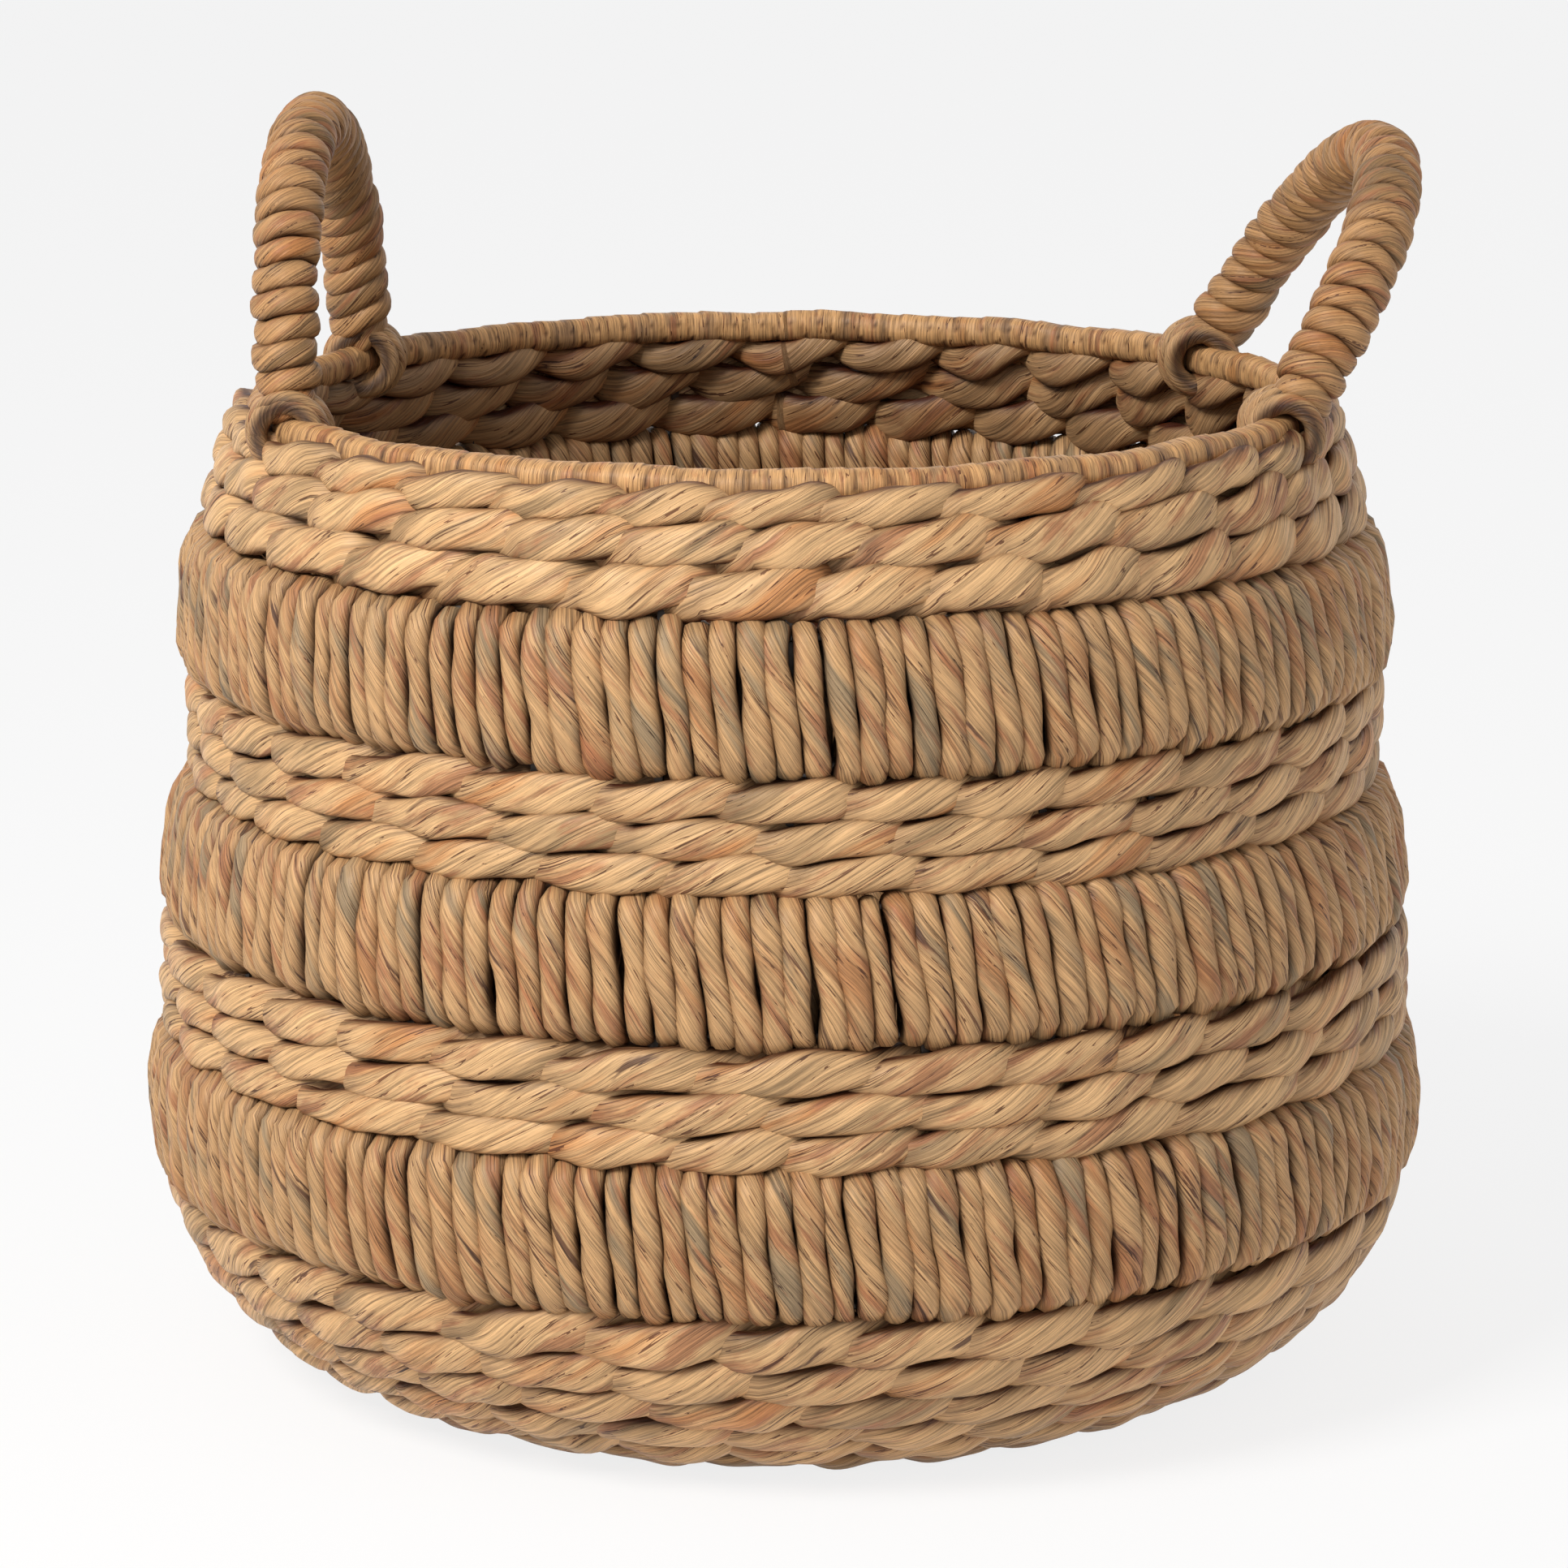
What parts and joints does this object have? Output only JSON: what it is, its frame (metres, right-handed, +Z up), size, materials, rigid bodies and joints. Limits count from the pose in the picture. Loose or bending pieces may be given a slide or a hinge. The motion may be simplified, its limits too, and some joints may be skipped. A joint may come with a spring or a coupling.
{
  "type": "woven storage basket",
  "caption": "Round open storage basket woven from twisted plant-fibre strands on a wire frame, with raised coiled bands and two tilting loop handles on the rim.",
  "frame": {"origin": "on the floor under the centre of the basket", "axes": "+Z up, front towards -Y, right handle towards +X"},
  "size_m": [0.44, 0.44, 0.4334],
  "materials": {
    "woven_strand": "dry twisted plant fibre",
    "band_strand": "dry twisted plant fibre",
    "rim_strip": "flat plant-fibre strip, slight sheen",
    "handle_strand": "dry twisted plant fibre",
    "lashing": "flat plant-fibre strip",
    "rope_core": "rope of plant fibre",
    "frame_wire": "dull drawn wire"
  },
  "bodies": {
    "basket": {"stakes": "frame_wire", "hub_ring": "frame_wire", "rim_wire": "frame_wire", "rim_wrap": "rim_strip", "band_1_upper_wire": "frame_wire", "band_1_lower_wire": "frame_wire", "band_2_upper_wire": "frame_wire", "band_2_lower_wire": "frame_wire", "band_3_upper_wire": "frame_wire", "band_3_lower_wire": "frame_wire", "row_01": "woven_strand", "row_02": "woven_strand", "row_03": "woven_strand", "row_04": "woven_strand", "row_05": "woven_strand", "row_06": "woven_strand", "row_07": "woven_strand", "row_08": "woven_strand", "row_09": "woven_strand", "row_10": "woven_strand", "row_11": "woven_strand", "row_12": "woven_strand", "row_13": "woven_strand", "row_14": "woven_strand", "row_15": "woven_strand", "band_1": "band_strand", "band_2": "band_strand", "band_3": "band_strand", "base_row_01": "woven_strand", "base_row_02": "woven_strand", "base_row_03": "woven_strand", "base_row_04": "woven_strand", "base_row_05": "woven_strand", "base_row_06": "woven_strand", "base_row_07": "woven_strand", "base_row_08": "woven_strand", "base_row_09": "woven_strand", "base_row_10": "woven_strand", "base_row_11": "woven_strand", "base_centre": "woven_strand"},
    "left_handle": {"left_handle_core": "rope_core", "left_handle_wrap": "handle_strand", "left_front_loop": "lashing", "left_rear_loop": "lashing"},
    "right_handle": {"right_handle_core": "rope_core", "right_handle_wrap": "handle_strand", "right_front_loop": "lashing", "right_rear_loop": "lashing"}
  },
  "joints": [
    {"name": "left_handle_tilt", "type": "hinge", "parent": "basket", "child": "left_handle", "pos_m": [-0.15623, 0.01367, 0.3305], "axis": [-0.0872, -0.9962, 0], "range_deg": [-32.5, 37.5]},
    {"name": "right_handle_tilt", "type": "hinge", "parent": "basket", "child": "right_handle", "pos_m": [0.15596, 0.01639, 0.3305], "axis": [-0.1045, 0.9945, 0], "range_deg": [-60, 10]}
  ]
}
